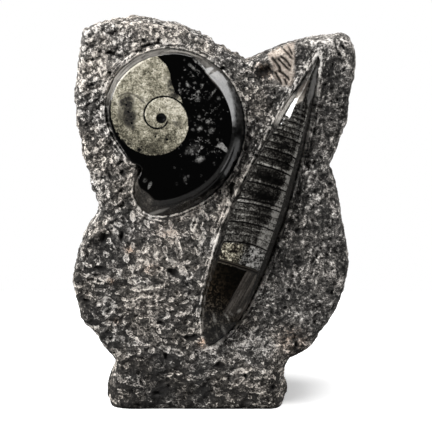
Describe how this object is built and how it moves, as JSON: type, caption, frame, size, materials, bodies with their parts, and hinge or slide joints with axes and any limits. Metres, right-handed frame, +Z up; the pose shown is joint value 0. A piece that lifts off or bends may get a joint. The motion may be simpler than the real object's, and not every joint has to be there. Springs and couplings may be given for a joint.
{
  "type": "orthoceras and goniatite fossil display block",
  "caption": "Free-standing hewn block of dark limestone with a flat foot, showing a polished coiled goniatite and a straight polished orthoceras proud of its rough front.",
  "frame": {"origin": "middle of the object's box, on the surface that the foot rests on", "axes": "+Z up along the height, -Y out of the show face, +X to the right seen from the front"},
  "size_m": [0.1812, 0.064, 0.2503],
  "materials": {
    "rough_limestone": "rough pecked dark grey limestone with pale bruised chisel marks",
    "polished_goniatite": "polished cream calcite and black limestone fill",
    "polished_orthoceras": "polished dark grey calcite with thin septa and a black body chamber"
  },
  "bodies": {
    "root": {"limestone_block": "rough_limestone", "goniatite": "polished_goniatite", "orthoceras": "polished_orthoceras"}
  },
  "joints": []
}
